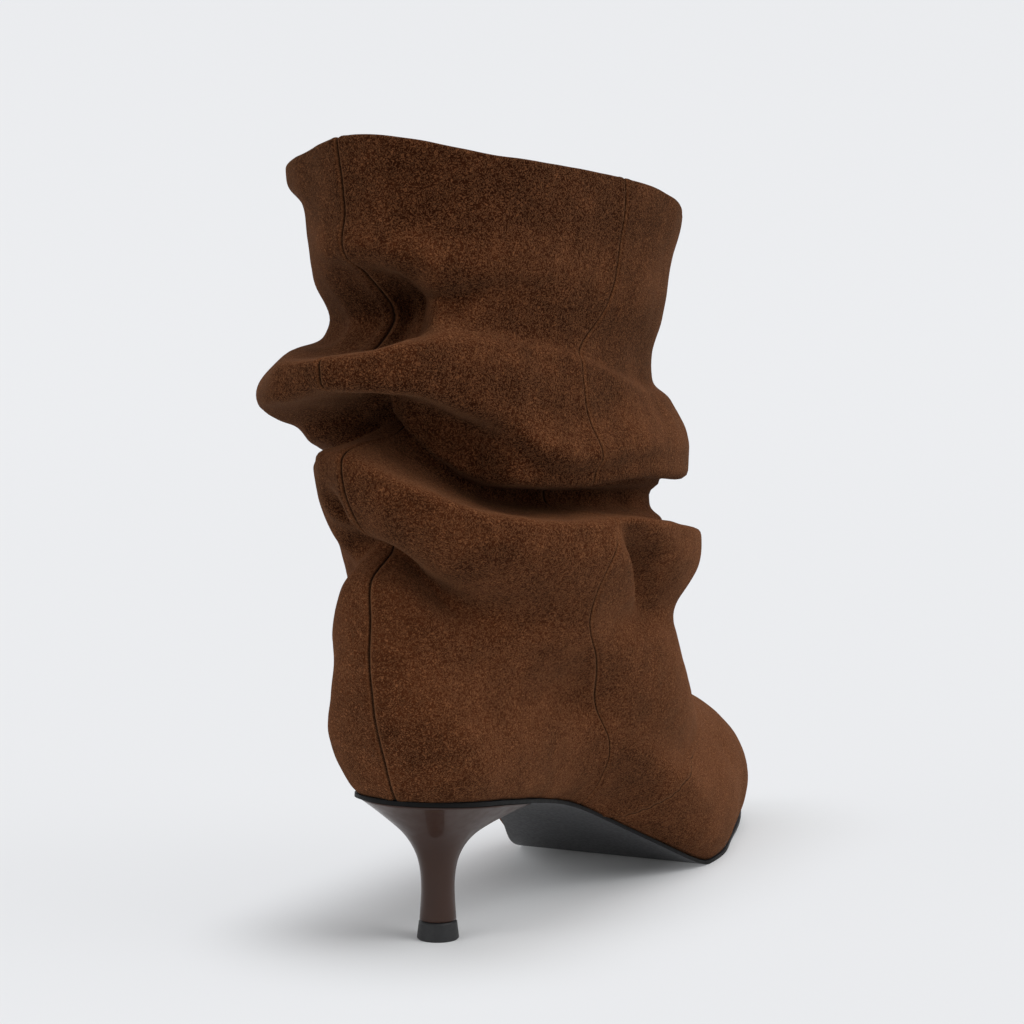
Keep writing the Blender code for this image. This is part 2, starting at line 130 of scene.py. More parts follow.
# %% Sole sizes and curves
SOLE_LENGTH = 0.256
BALL_WIDTH = 0.071
HEEL_HEIGHT = 0.0465
TOE_SPRING = 0.0075
SOLE_THICKNESS = 0.0012
HEEL_SETBACK = 0.028
GAP = 0.0003
BALL_BACK = 0.63
BALL_FRONT = 0.70

# station: share of the length; outer, inner: half widths as shares of half the ball's width;
# lift: share of the heel's height
SOLE = (
    (0.000, 0.000, 0.000, 1.000),
    (0.008, 0.265, 0.265, 0.998),
    (0.027, 0.465, 0.465, 0.990),
    (0.055, 0.597, 0.597, 0.976),
    (0.094, 0.648, 0.648, 0.952),
    (0.156, 0.676, 0.662, 0.903),
    (0.234, 0.634, 0.563, 0.826),
    (0.332, 0.592, 0.465, 0.690),
    (0.430, 0.676, 0.563, 0.470),
    (0.527, 0.873, 0.817, 0.215),
    (0.605, 0.970, 0.990, 0.035),
    (0.656, 0.975, 1.010, 0.000),
    (0.723, 0.900, 0.920, 0.000),
    (0.781, 0.780, 0.790, 0.000),
    (0.840, 0.676, 0.634, 0.000),
    (0.891, 0.560, 0.525, 0.000),
    (0.938, 0.420, 0.395, 0.000),
    (0.969, 0.300, 0.284, 0.000),
    (0.990, 0.168, 0.160, 0.000),
    (1.000, 0.000, 0.000, 0.000),
)


def sole_height(station):
    """Height of the sole's underside at a share of its length."""
    rows = [row for row in SOLE if row[0] <= BALL_BACK]
    rows += [(BALL_BACK, 0, 0, 0), (BALL_FRONT, 0, 0, 0)]
    stations, lifts = np.array(rows)[:, [0, 3]].T
    lift = spline(stations, lifts, np.minimum(station, BALL_FRONT))
    lift = np.where(station > BALL_BACK, 0.0, np.maximum(lift, 0.0))
    ahead = np.clip((station - BALL_FRONT) / (1 - BALL_FRONT), 0, 1)
    return lift * HEEL_HEIGHT + TOE_SPRING * ahead**1.8


def raised(x, station, height):
    """A point at a height above the sole's underside, square to it."""
    reach = 0.002
    fall = (sole_height(station + reach) - sole_height(station - reach)) / (2 * reach * SOLE_LENGTH)
    length = np.sqrt(1 + fall**2)
    y = station * SOLE_LENGTH - HEEL_SETBACK - height * fall / length
    z = sole_height(station) + height / length
    return np.stack([x, y, z], axis=-1)


def outline(at):
    """Plan of the sole round its edge: 0 at the back, 0.5 at the toe."""
    half = BALL_WIDTH / 2
    outer = [(row[1] * half, row[0] * SOLE_LENGTH) for row in SOLE]
    inner = [(-row[2] * half, row[0] * SOLE_LENGTH) for row in SOLE[-2:0:-1]]
    points = np.array(outer + inner + outer[:1])
    chord = np.concatenate([[0], np.cumsum(np.hypot(*np.diff(points, axis=0).T))])
    toe = chord[len(SOLE) - 1]
    knots = np.where(chord <= toe, chord / toe / 2, 0.5 + (chord - toe) / (chord[-1] - toe) / 2)
    return spline(knots[:-1], points[:-1], at, period=1.0)


def inset_outline(at, inset):
    """The sole's outline moved inward: half widths and stations."""
    along = outline(at + 0.002) - outline(at - 0.002)
    along /= np.linalg.norm(along, axis=-1, keepdims=True)
    inward = np.stack([-along[..., 1], along[..., 0]], axis=-1)
    points = outline(at) + inward * inset
    return points[..., 0], points[..., 1] / SOLE_LENGTH


print("sole rises", round(float(sole_height(np.array(0.05))) * 1000, 1), "mm under the heel")

# %% [markdown]
# ## The unfolded upper
# Rings run round the foot from the feather edge, where the upper meets the sole, to the ankle, and
# on up the shaft to the collar. The shaft is far wider than the ankle: that is what lets it sink.
# The readings are the solid's, but for a thinner sole and a slightly fuller toe, so the dressed
# boot stands where the solid does.

# %% Upper sizes and rings
BOOT_HEIGHT = 0.244
COLLAR_DROP = 0.034
SHAFT_WIDTH = 0.100
SHAFT_DEPTH = 0.153
SHAFT_BACKSET = 0.015
ANKLE_HEIGHT = 0.100
SHAFT_TWIST = 12.0
WALL = 0.0018
FEATHER_INSET = 0.0008

# back, front, shaft share, rise at back, side and front, then wider at seat, waist, ball and toe
FOOT = (
    (0.000, 1.000, 0.00, 0.000, 0.000, 0.000, 0.00, 0.00, 0.00, 0.00),
    (0.012, 1.005, 0.00, 0.085, 0.060, 0.065, 0.12, 0.20, 0.11, 0.10),
    (0.027, 0.988, 0.03, 0.235, 0.160, 0.185, 0.23, 0.40, 0.18, 0.21),
    (0.041, 0.930, 0.12, 0.400, 0.300, 0.330, 0.26, 0.50, 0.16, 0.20),
    (0.051, 0.836, 0.28, 0.560, 0.440, 0.450, 0.18, 0.40, 0.04, 0.06),
    (0.057, 0.734, 0.48, 0.700, 0.580, 0.550, 0.10, 0.20, 0.09, 0.04),
    (0.060, 0.648, 0.68, 0.820, 0.730, 0.680, 0.04, 0.10, 0.12, 0.04),
    (0.061, 0.582, 0.86, 0.910, 0.870, 0.815, 0.00, 0.03, 0.07, 0.02),
)
WIDEN_AT = (0.0, 0.10, 0.19, 0.31, 0.43, 0.5)
SIDE_AT = 0.22

# azimuth from the back, and the share of the collar's drop there
COLLAR = (
    (0, 0.00), (35, 0.14), (66, 0.28), (80, 0.35), (99, 0.46), (120, 0.66), (150, 0.90),
    (180, 1.00),
)
# level, width, depth, and how much narrower the back is than the front
SHAFT = (
    (0.00, 0.92, 1.00, 0.24),
    (0.17, 0.93, 0.97, 0.18),
    (0.35, 0.92, 0.97, 0.12),
    (0.53, 0.93, 0.98, 0.10),
    (0.70, 0.96, 0.97, 0.10),
    (0.86, 1.00, 0.99, 0.08),
    (1.00, 1.04, 1.02, 0.07),
)


def collar_height(azimuth):
    """Height of the collar's edge: highest at the back, lowest at the front."""
    turns, shares = np.array(COLLAR).T
    return BOOT_HEIGHT - COLLAR_DROP * mirrored(turns / 360, shares, np.asarray(azimuth) / 360)


def shaft_ring(at, level, wide, deep, egg):
    """One ring of the unfolded shaft."""
    azimuth = 360 * at - SHAFT_TWIST * level
    turn = np.radians(azimuth)
    middle = SHAFT_DEPTH / 2 - HEEL_SETBACK - SHAFT_BACKSET
    x = SHAFT_WIDTH * wide / 2 * np.sin(turn) * (1 - egg * np.cos(turn))
    y = middle - SHAFT_DEPTH * deep / 2 * np.cos(turn)
    z = ANKLE_HEIGHT + level * (collar_height(azimuth) - ANKLE_HEIGHT)
    return np.stack([x, y, z], axis=-1)


def foot_ring(at, back, front, shaft, rise_back, rise_side, rise_front, *widen):
    """One ring of the foot, between the feather edge and the ankle."""
    x, station = inset_outline(at, FEATHER_INSET)
    feather = raised(x, station, SOLE_THICKNESS + GAP)
    if rise_front == 0:
        return feather
    ankle = shaft_ring(at, *SHAFT[0])
    rise = mirrored((0.0, SIDE_AT, 0.5), (rise_back, rise_side, rise_front), at)
    wider = 1 + mirrored(WIDEN_AT, (widen[0],) + widen + (widen[3],), at)
    along = station * (1 - shaft) + (1 - np.cos(2 * np.pi * at)) / 2 * shaft
    start = -HEEL_SETBACK - back * SOLE_LENGTH
    end = front * SOLE_LENGTH - HEEL_SETBACK
    plan_x = (x * (1 - shaft) + ankle[..., 0] * shaft) * wider
    z = feather[..., 2] + rise * (ankle[..., 2] - feather[..., 2])
    return np.stack([plan_x, start + (end - start) * along, z], axis=-1)


def unfolded(at, rows):
    """The upper before it sinks: row 0 is the feather edge, 1 the ankle and 2 the collar."""
    rings = np.stack([foot_ring(at, *row) for row in FOOT]
                     + [shaft_ring(at, *row) for row in SHAFT])
    foot = np.linspace(0, 1, len(FOOT) + 1)[:-1]
    knots = np.concatenate([foot, 1 + np.array([row[0] for row in SHAFT])])
    points = spline(knots, rings, rows)
    azimuth = 360 * at - SHAFT_TWIST * np.clip(rows - 1, 0, 1)[:, None]
    return points, azimuth


# %% [markdown]
# ## Rolls, creases and dents
# Gravity pushes the slack shaft down into fat rolls with narrow creases between them. Each roll or
# crease is a ridge line round the shaft that rises, falls and fades as it goes. Its profile may be
# blunter on one side than on the other, which gives a crisp edge over a soft slope. A dent is a
# single soft push, such as the pinch at the back where two rolls meet.

# %% Fold tables
# how far the skin sinks as it is pushed out, how blunt the profile is above and below its middle,
# how far it reaches below as a share of its reach above, and then the knots: azimuth from the back
# toward the wearer's right, share of the height, out as a share of half the shaft's width, spread
# as a share of the height
FOLDS = {
    "collar lobe": (0.2, 3.0, 3.0, 1.0, (
        (-100, 0.950, 0.00, 0.034), (-62, 0.955, 0.09, 0.030), (-25, 0.960, 0.00, 0.034),
    )),
    "collar flare": (0.0, 2.0, 2.0, 1.0, (
        (70, 0.930, 0.00, 0.050), (115, 0.910, 0.06, 0.050), (160, 0.890, 0.03, 0.050),
        (210, 0.900, 0.00, 0.050),
    )),
    "tube ridge": (0.3, 2.0, 4.0, 0.8, (
        (-45, 0.872, 0.00, 0.030), (-14, 0.870, 0.07, 0.026), (0, 0.866, 0.11, 0.026),
        (10, 0.860, 0.14, 0.026), (20, 0.845, 0.13, 0.034), (36, 0.850, 0.06, 0.034),
        (75, 0.850, 0.00, 0.034), (200, 0.850, 0.00, 0.034),
    )),
    "pocket": (-0.2, 2.4, 5.0, 0.6, (
        (-75, 0.765, -0.10, 0.040), (-58, 0.766, -0.12, 0.040), (-36, 0.768, -0.22, 0.042),
        (-14, 0.772, -0.42, 0.048), (2, 0.778, -0.54, 0.050), (14, 0.786, -0.50, 0.046),
        (25, 0.800, -0.10, 0.044), (40, 0.790, -0.05, 0.040), (62, 0.770, -0.04, 0.040),
        (100, 0.720, -0.08, 0.050), (180, 0.720, -0.08, 0.050), (240, 0.750, -0.06, 0.050),
    )),
    "left lobe": (0.0, 1.8, 1.8, 1.0, (
        (-150, 0.655, 0.14, 0.055), (-105, 0.665, 0.24, 0.052), (-62, 0.690, 0.29, 0.060),
        (-40, 0.695, 0.18, 0.050), (-18, 0.710, 0.00, 0.050), (90, 0.680, 0.00, 0.050),
    )),
    "middle roll": (0.20, 2.6, 7.0, 1.0, (
        (-90, 0.680, 0.00, 0.050), (-62, 0.692, 0.07, 0.046), (-40, 0.702, 0.20, 0.046),
        (-22, 0.722, 0.37, 0.046), (-8, 0.734, 0.37, 0.042), (4, 0.736, 0.36, 0.044),
        (16, 0.742, 0.30, 0.052), (34, 0.722, 0.20, 0.055), (46, 0.706, 0.16, 0.058),
        (58, 0.680, 0.12, 0.064), (85, 0.680, 0.06, 0.060), (110, 0.680, 0.00, 0.060),
    )),
    "recess": (0.1, 8.0, 3.0, 1.0, (
        (-50, 0.640, 0.00, 0.030), (-32, 0.662, -0.34, 0.032), (-13, 0.673, -0.40, 0.033),
        (0, 0.666, -0.32, 0.038), (12, 0.656, -0.26, 0.042), (26, 0.639, -0.20, 0.046),
        (36, 0.626, -0.14, 0.044), (48, 0.610, 0.00, 0.036), (100, 0.600, 0.00, 0.036),
        (250, 0.640, 0.00, 0.030),
    )),
    "front bulge": (0.4, 2.5, 9.0, 1.0, (
        (40, 0.622, 0.00, 0.032), (51, 0.614, 0.11, 0.036), (64, 0.608, 0.13, 0.036),
        (90, 0.610, 0.17, 0.038), (118, 0.600, 0.19, 0.044), (150, 0.602, 0.19, 0.046),
        (185, 0.600, 0.18, 0.046), (225, 0.615, 0.14, 0.046), (255, 0.640, 0.00, 0.045),
    )),
    "main crease": (0.1, 4.0, 4.0, 1.0, (
        (-60, 0.590, -0.12, 0.026), (-30, 0.640, -0.12, 0.016), (-13, 0.662, -0.16, 0.014),
        (0, 0.643, -0.16, 0.015), (12, 0.622, -0.18, 0.015), (26, 0.598, -0.20, 0.015),
        (38, 0.580, -0.28, 0.015), (49, 0.570, -0.38, 0.016), (66, 0.561, -0.38, 0.017),
        (79, 0.557, -0.28, 0.017), (95, 0.552, -0.17, 0.016), (120, 0.538, -0.07, 0.018),
        (180, 0.535, -0.12, 0.022), (240, 0.570, -0.14, 0.024),
    )),
    "lower roll": (-0.26, 6.0, 2.6, 2.2, (
        (-60, 0.548, -0.10, 0.030), (-34, 0.592, 0.06, 0.030), (-15, 0.610, 0.20, 0.030),
        (-3, 0.611, 0.26, 0.030), (12, 0.587, 0.31, 0.030), (26, 0.562, 0.33, 0.030),
        (38, 0.542, 0.33, 0.030), (49, 0.529, 0.32, 0.030), (66, 0.520, 0.30, 0.030),
        (84, 0.514, 0.27, 0.030), (100, 0.500, 0.25, 0.030), (120, 0.480, 0.24, 0.030),
        (150, 0.472, 0.24, 0.030), (185, 0.476, 0.22, 0.030), (235, 0.520, 0.14, 0.030),
    )),
    "lower crease": (0.1, 2.0, 2.0, 1.0, (
        (-60, 0.420, -0.15, 0.080), (-14, 0.514, -0.28, 0.024), (-3, 0.508, -0.30, 0.018),
        (12, 0.494, -0.32, 0.016), (26, 0.462, -0.26, 0.018), (40, 0.434, -0.15, 0.022),
        (57, 0.415, -0.06, 0.030), (75, 0.402, -0.02, 0.024), (100, 0.396, -0.06, 0.022),
        (120, 0.392, -0.03, 0.022), (180, 0.388, -0.10, 0.024), (240, 0.435, -0.12, 0.028),
    )),
    "side dent": (0.2, 2.0, 2.0, 1.0, (
        (45, 0.300, 0.00, 0.060), (70, 0.310, -0.08, 0.060), (92, 0.330, 0.00, 0.060),
    )),
}
# azimuth and share of the height of the middle, out as a share of half the shaft's width, half
# width in degrees, half height as a share of the height, and how far it climbs per degree
DENTS = (
    (-15, 0.552, -0.20, 5.0, 0.016, 0.0000),
    (92, 0.456, -0.26, 12.0, 0.020, -0.0034),
    (72, 0.400, 0.08, 18.0, 0.060, 0.0000),
    (-32, 0.500, 0.08, 8.0, 0.030, 0.0000),
)


def fold_level(name, azimuth):
    """Height on the unfolded shaft of the middle of a fold."""
    sink, _, _, _, knots = FOLDS[name]
    turns, levels, outs, _ = np.array(knots).T
    level = spline(turns, levels, azimuth, period=360.0) * BOOT_HEIGHT
    return level + sink * eased(turns, outs, azimuth, 360.0) * SHAFT_WIDTH / 2


def folded(points, azimuth):
    """Pushes the shaft out into its rolls and in along its creases."""
    height = points[..., 2]
    push = np.zeros_like(azimuth)
    fall = np.zeros_like(azimuth)
    for name, (sink, above, below, reach, knots) in FOLDS.items():
        turns, _, outs, spreads = np.array(knots).T
        out = eased(turns, outs, azimuth, 360.0) * SHAFT_WIDTH / 2
        spread = eased(turns, spreads, azimuth, 360.0) * BOOT_HEIGHT
        away = (height - fold_level(name, azimuth)) / spread
        lower = away < 0
        away = np.abs(away) / np.where(lower, reach, 1.0)
        part = out * np.exp(-away**np.where(lower, below, above))
        push += part
        fall += sink * part
    for turn, level, out, wide, tall, climb in DENTS:
        aside = (azimuth - turn + 180) % 360 - 180
        above = height / BOOT_HEIGHT - level - climb * aside
        push += out * SHAFT_WIDTH / 2 * np.exp(-(aside / wide)**2 - (above / tall)**2)
    turn = np.radians(azimuth)
    shift = np.stack([push * np.sin(turn), -push * np.cos(turn), -fall], axis=-1)
    return points + shift, push


# %% [markdown]
# ## Seams
# The upper is cut from four panels: two quarters that meet at the centre back, a front panel, and
# a vamp over the toes. Each seam is turned inside, so that all that shows is a fine groove between
# two softly puffed edges. The mesh gets its columns along the long seams, which keeps them crisp.

# %% Seam paths
# row on the upper, and place round it, of the seam on the outer side; the inner side mirrors it
SIDE_SEAM = (
    (0.00, 0.180), (0.27, 0.186), (0.48, 0.198), (0.70, 0.212), (0.93, 0.217), (1.13, 0.206),
    (1.24, 0.216), (1.36, 0.211), (1.50, 0.214), (1.60, 0.214), (1.70, 0.238), (1.80, 0.256),
    (1.90, 0.262), (2.00, 0.264),
)
# place round the upper and row of the vamp seam, on the outer side
VAMP_SEAM = (
    (0.212, 0.00), (0.224, 0.11), (0.240, 0.23), (0.265, 0.36), (0.310, 0.475), (0.370, 0.53),
    (0.430, 0.60), (0.500, 0.64),
)


def side_seam(rows):
    """Place round the upper of the outer side seam at each row."""
    knots, places = np.array(SIDE_SEAM).T
    return spline(knots, places, rows)


def vamp_row(at):
    """Row of the vamp seam at a place round the upper, below the sole where there is none."""
    half = np.minimum(at, 1 - at)
    knots, rows = np.array(VAMP_SEAM).T
    return np.interp(half, np.append(0.150, knots), np.append(-0.60, rows))


# %% [markdown]
# ## The shell of the upper
# A dense lattice of the folded surface is worked out once. The mesh then takes its rows along the
# rolls and creases and its columns along the seams, so that no edge cuts across a fold. One sheet
# runs up the outside, over the collar's rounded lip and down the inside, and closes on itself at
# the feather edge: a true hollow wall with a suede face and a lining face.

# %% Rows and columns of the upper
ROW_GUIDES = (
    ("lower crease", 80), ("lower roll", 24), ("main crease", 28), ("middle roll", 30),
    ("pocket", 26), ("tube ridge", 20), ("collar", 30),
)
NEAR_SEAM = (0.0, 0.004, 0.009, 0.016, 0.026)
QUARTER_COLUMNS = 50
FRONT_COLUMNS = 96


def panel_shares(count):
    """Shares across one panel, crowded at both seams."""
    near = np.array(NEAR_SEAM)
    between = np.linspace(near[-1], 1 - near[-1], count)[1:-1]
    return np.concatenate([near, between, 1 - near[::-1]])[:-1]


def lattice(columns=480, rows=1400):
    """The folded surface on a dense regular lattice, with its push and unfolded height."""
    at = np.arange(columns) / columns
    points, azimuth = unfolded(at, np.linspace(0, 2, rows))
    shaped, push = folded(points, azimuth)
    return np.concatenate([shaped, push[..., None], points[..., 2:], azimuth[..., None]], axis=-1)


def sampled(table, at, rows):
    """Reads the lattice between its points."""
    height, width = table.shape[:2]
    across = (at % 1.0) * width
    up = np.clip(rows / 2, 0, 1) * (height - 1)
    i = np.minimum(up.astype(int), height - 2)
    j = across.astype(int)
    fi = (up - i)[..., None]
    fj = (across - j)[..., None]
    j = j % width
    k = (j + 1) % width
    low = table[i, j] * (1 - fj) + table[i, k] * fj
    high = table[i + 1, j] * (1 - fj) + table[i + 1, k] * fj
    return low * (1 - fi) + high * fi


def mesh_places(table):
    """Place and row of each mesh point: rows follow the folds, columns follow the seams."""
    width = table.shape[1]
    fine = np.linspace(0, 2, table.shape[0])
    azimuth = np.arange(width) * 360.0 / width - SHAFT_TWIST * np.clip(fine - 1, 0, 1)[:, None]
    steps = np.linalg.norm(np.diff(table[..., :3], axis=0), axis=-1)
    skin = np.concatenate([np.zeros((1, width)), np.cumsum(steps, axis=0)])
    marks = [np.zeros(width)]
    for name, count in ROW_GUIDES:
        if name == "collar":
            mark = np.full(width, 2.0)
        else:
            above = table[..., 4] - fold_level(name, azimuth)
            mark = np.array([np.interp(0, above[:, i], fine) for i in range(width)])
        goal = np.array([np.interp(mark[i], fine, skin[:, i]) for i in range(width)])
        start = np.array([np.interp(marks[-1][i], fine, skin[:, i]) for i in range(width)])
        for share in np.linspace(0, 1, count + 1)[1:]:
            length = start * (1 - share) + goal * share
            marks.append(np.array([np.interp(length[i], skin[:, i], fine) for i in range(width)]))
    marks = np.stack(marks)
    seam = side_seam(marks.mean(axis=1))[:, None]
    quarter = panel_shares(QUARTER_COLUMNS)
    front = panel_shares(FRONT_COLUMNS)
    at = np.concatenate([
        seam * quarter, seam + (1 - 2 * seam) * front, 1 - seam + seam * quarter,
    ], axis=1)
    across = at * width
    j = across.astype(int)
    line = np.arange(len(marks))[:, None]
    rows = marks[line, j % width] * (1 - across + j) + marks[line, (j + 1) % width] * (across - j)
    return at, rows, seam


table = lattice()
at, rows, seam = mesh_places(table)
print("upper mesh:", at.shape[0], "rows,", at.shape[1], "columns")

# %% [markdown]
# The seam grooves and the soft unevenness of hide are pushed along the surface's own normal. The
# distance to the seams is kept on the mesh as attributes, which the suede material reads later.

# %% Shape the outer face
SEAM_DEPTH = 0.0006
SEAM_WIDTH = 0.0005
PUFF_HEIGHT = 0.0004
PUFF_AT = 0.0018
VAMP_RIDGE = 0.0007
VAMP_GROOVE = 0.0006
VAMP_STEP = 0.0016
UNEVEN = 0.0005


def normals_of(points):
    """Outward normals of a grid that is closed round its columns."""
    round_it = np.roll(points, -1, axis=1) - np.roll(points, 1, axis=1)
    up = np.gradient(points, axis=0)
    normal = np.cross(round_it, up)
    return normal / np.maximum(np.linalg.norm(normal, axis=-1, keepdims=True), 1e-12)


def seam_distances(at, rows, seam):
    """Signed distances in metres to the back, outer, inner and vamp seams."""
    ahead = sampled(table, at + 0.001, rows)[..., :3] - sampled(table, at - 0.001, rows)[..., :3]
    per_turn = np.linalg.norm(ahead, axis=-1) / 0.002
    above = sampled(table, at, rows + 0.005)[..., :3] - sampled(table, at, rows - 0.005)[..., :3]
    per_row = np.linalg.norm(above, axis=-1) / 0.010
    back = ((at + 0.5) % 1.0 - 0.5) * per_turn
    outer = (at - seam) * per_turn
    inner = (at - 1 + seam) * per_turn
    climb = (vamp_row(at + 0.002) - vamp_row(at - 0.002)) / 0.004
    steep = 1 / np.sqrt(1 / per_row**2 + (climb / per_turn)**2)
    vamp = (rows - vamp_row(at)) * steep
    return np.stack([back, outer, inner, vamp], axis=-1)


def seam_relief(distance):
    """Groove and puffed edges of a turned seam."""
    away = np.abs(distance)
    groove = -SEAM_DEPTH * np.exp(-(away / SEAM_WIDTH)**2)
    return groove + PUFF_HEIGHT * np.exp(-((away - PUFF_AT) / (0.7 * PUFF_AT))**2)


def vamp_relief(distance):
    """Groove of the vamp seam, with the folded edge of the quarters standing up behind it."""
    away = distance / VAMP_STEP
    return VAMP_RIDGE * np.exp(-(away - 1)**2) - VAMP_GROOVE * np.exp(-(away * 1.6)**2)


outer_face = sampled(table, at, rows)
push = outer_face[..., 3]
outer_face = outer_face[..., :3]
distances = seam_distances(at, rows, seam)
relief = seam_relief(np.abs(distances[..., :3]).min(axis=-1))
relief = relief + vamp_relief(distances[..., 3])
rough = np.array([noise.noise(Vector(p) * 60) + 0.5 * noise.noise(Vector(p) * 140)
                  for p in outer_face.reshape(-1, 3)]).reshape(push.shape)
smooth_face = outer_face
outer_face = outer_face + normals_of(outer_face) * (relief + UNEVEN * rough)[..., None]
print("mesh points on the vamp seam:", int((np.abs(distances[..., 3]) < 0.001).sum()))
print("reach of the folds:", round(float(push.min()) * 1000, 1), "to",
      round(float(push.max()) * 1000, 1), "mm")

# %% Close the shell and build the mesh
FOOT_LINING_ROWS = 24
FOLD_MARGIN_ROWS = 20
LIP_STEPS = 5
MERGE_DISTANCE = 0.00001


def grid_mesh(points, wrap_rows=False):
    """A create_grid sheet bent to rows of points, closed round its columns."""
    points = np.concatenate([points, points[:, :1]], axis=1)
    if wrap_rows:
        points = np.concatenate([points, points[:1]], axis=0)
    mesh = bmesh.new()
    rows, columns = points.shape[:2]
    bmesh.ops.create_grid(mesh, x_segments=columns - 1, y_segments=rows - 1, size=1)
    mesh.verts.ensure_lookup_table()
    for vertex, place in zip(mesh.verts, points.reshape(-1, 3)):
        vertex.co = place
    return mesh


def finish_piece(mesh, name, materials, node):
    """Turns a bmesh into a smooth object that stands for a node of the frame."""
    data = bpy.data.meshes.new(name)
    mesh.to_mesh(data)
    mesh.free()
    data.shade_smooth()
    for material in materials:
        data.materials.append(material)
    piece = bpy.data.objects.new(name, data)
    bpy.context.scene.collection.objects.link(piece)
    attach(piece, "root")
    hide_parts(node)
    print(name, len(data.polygons), "faces")
    return piece


def closed_shell(outer, smooth, normal):
    """Rows up the outside, over the lip and down the lining."""
    inner = smooth - normal * WALL
    top, sunk = outer[-1], inner[-1]
    middle = (top + sunk) / 2
    half = (top - sunk) / 2
    up = np.linalg.norm(half, axis=-1, keepdims=True) * np.array([0, 0, 1.0])
    turns = np.linspace(0, np.pi, LIP_STEPS + 2)[1:-1]
    lip = [middle + half * np.cos(turn) + up * np.sin(turn) for turn in turns]
    foot = ROW_GUIDES[0][1] - FOLD_MARGIN_ROWS
    picks = np.append(np.arange(len(outer) - 1, foot, -1),
                      np.linspace(foot, 0, FOOT_LINING_ROWS).round().astype(int))
    return np.concatenate([outer, np.stack(lip), inner[picks]])


shell = closed_shell(outer_face, smooth_face, normals_of(smooth_face))
suede_rows = len(outer_face) + LIP_STEPS

# %% [markdown]
# ## Suede
# Suede is the flesh side of leather, brushed up into a short nap. It hardly shines, but fibre tips
# catch light at a glancing angle, which is what the sheen is for. Close up, the nap lies in short
# curly tufts well under a millimetre wide. From further away it is cloudy where hands brushed it.
# The group below gives a tuft pattern, broad clouds and a height, all in the object's own metres.

# %% Nap group
def new_group(name, inputs, outputs):
    """An empty shader node group with float or colour sockets."""
    group = bpy.data.node_groups.new(name, "ShaderNodeTree")
    for kind, sockets in (("INPUT", inputs), ("OUTPUT", outputs)):
        for title, form in sockets:
            group.interface.new_socket(title, in_out=kind, socket_type="NodeSocket" + form)
    return group, group.nodes.new("NodeGroupInput"), group.nodes.new("NodeGroupOutput")


def add(tree, kind, **settings):
    """Adds a shader node and sets its properties."""
    node = tree.nodes.new("ShaderNode" + kind)
    for key, value in settings.items():
        setattr(node, key, value)
    return node


def maths(tree, operation, first, second=None):
    """A Math node fed by sockets or numbers."""
    node = add(tree, "Math", operation=operation)
    for socket, value in zip(node.inputs, (first, second)):
        if isinstance(value, (int, float)):
            socket.default_value = value
        elif value is not None:
            tree.links.new(value, socket)
    return node.outputs[0]


def noise_at(tree, place, scale, detail, distortion=0.0, roughness=0.5):
    """A noise texture read at a place."""
    node = add(tree, "TexNoise")
    node.inputs["Scale"].default_value = scale
    node.inputs["Detail"].default_value = detail
    node.inputs["Roughness"].default_value = roughness
    node.inputs["Distortion"].default_value = distortion
    tree.links.new(place, node.inputs["Vector"])
    return node.outputs["Fac"]


def ranged(tree, value, low, high, to_low=0.0, to_high=1.0):
    """Maps a value from one range to another, smoothly and clamped."""
    node = add(tree, "MapRange", interpolation_type="SMOOTHSTEP")
    tree.links.new(value, node.inputs["Value"])
    node.inputs["From Min"].default_value = low
    node.inputs["From Max"].default_value = high
    node.inputs["To Min"].default_value = to_low
    node.inputs["To Max"].default_value = to_high
    return node.outputs["Result"]


def build_nap():
    """Group: place in, tufts, clouds and height out."""
    group, inlet, outlet = new_group("nap", [("Place", "Vector")],
                                     [("Tufts", "Float"), ("Clouds", "Float"), ("Height", "Float")])
    place = inlet.outputs["Place"]
    curl = noise_at(group, place, 1050, 1.0, distortion=0.6)
    waves = maths(group, "PINGPONG", maths(group, "MULTIPLY", curl, 8.0), 1.0)
    tufts = ranged(group, waves, 0.30, 0.95)
    broken = noise_at(group, place, 2100, 1.0)
    tufts = maths(group, "MULTIPLY", tufts, ranged(group, broken, 0.30, 0.62, 0.40, 1.0))
    patch = noise_at(group, place, 420, 2.0, distortion=0.4)
    clouds = noise_at(group, place, 75, 6.0, distortion=0.2, roughness=0.72)
    height = maths(group, "ADD", tufts, maths(group, "MULTIPLY", patch, 0.4))
    group.links.new(tufts, outlet.inputs["Tufts"])
    group.links.new(clouds, outlet.inputs["Clouds"])
    group.links.new(height, outlet.inputs["Height"])
    return group


nap_group = build_nap()

# %% [markdown]
# The suede's colour goes from a dark brown in the hollows to a lighter one on the tuft tips. The
# nap is rubbed paler on the crest of each roll, and the creases and recesses between the rolls get
# painted shade. Where the surface faces up it gets painted light and where it faces down painted
# shade, and a few bands of height add painted light and shade: lighter near the floor, darker
# higher up, with a lighter band at the tube ridge. A seam is a dark line with a thin pale edge,
# where thread pulls the nap flat.

# %% Suede material
SUEDE_DARK = (0.020, 0.0045, 0.0012, 1.0)
SUEDE_MID = (0.080, 0.0230, 0.0080, 1.0)
SUEDE_LIGHT = (0.270, 0.105, 0.044, 1.0)
SEAM_SHADE = (0.010, 0.003, 0.001, 1.0)
# tone for the paler worn crests of the rolls and for painted shade in the creases
CREST_WEAR_AND_CREASE_SHADE = 0.05
# tone for painted light on surfaces that face up and painted shade on those that face down
TILT_PAINTED_LIGHT_AND_SHADE = 0.28
CREST_PUSH = 0.018

# heights where a band of painted light and shade begins and ends, and the tone below and above it
PAINTED_LIGHT_AND_SHADE_BANDS = (
    (0.100, 0.150, 0.16, -0.06), (0.155, 0.175, 0.00, -0.09),
    (0.188, 0.200, 0.00, 0.14), (0.208, 0.222, 0.00, -0.12),
)


def new_material(name):
    """A material with its tree and its Principled shader."""
    material = bpy.data.materials.new(name)
    material.use_nodes = True
    return material, material.node_tree, material.node_tree.nodes["Principled BSDF"]


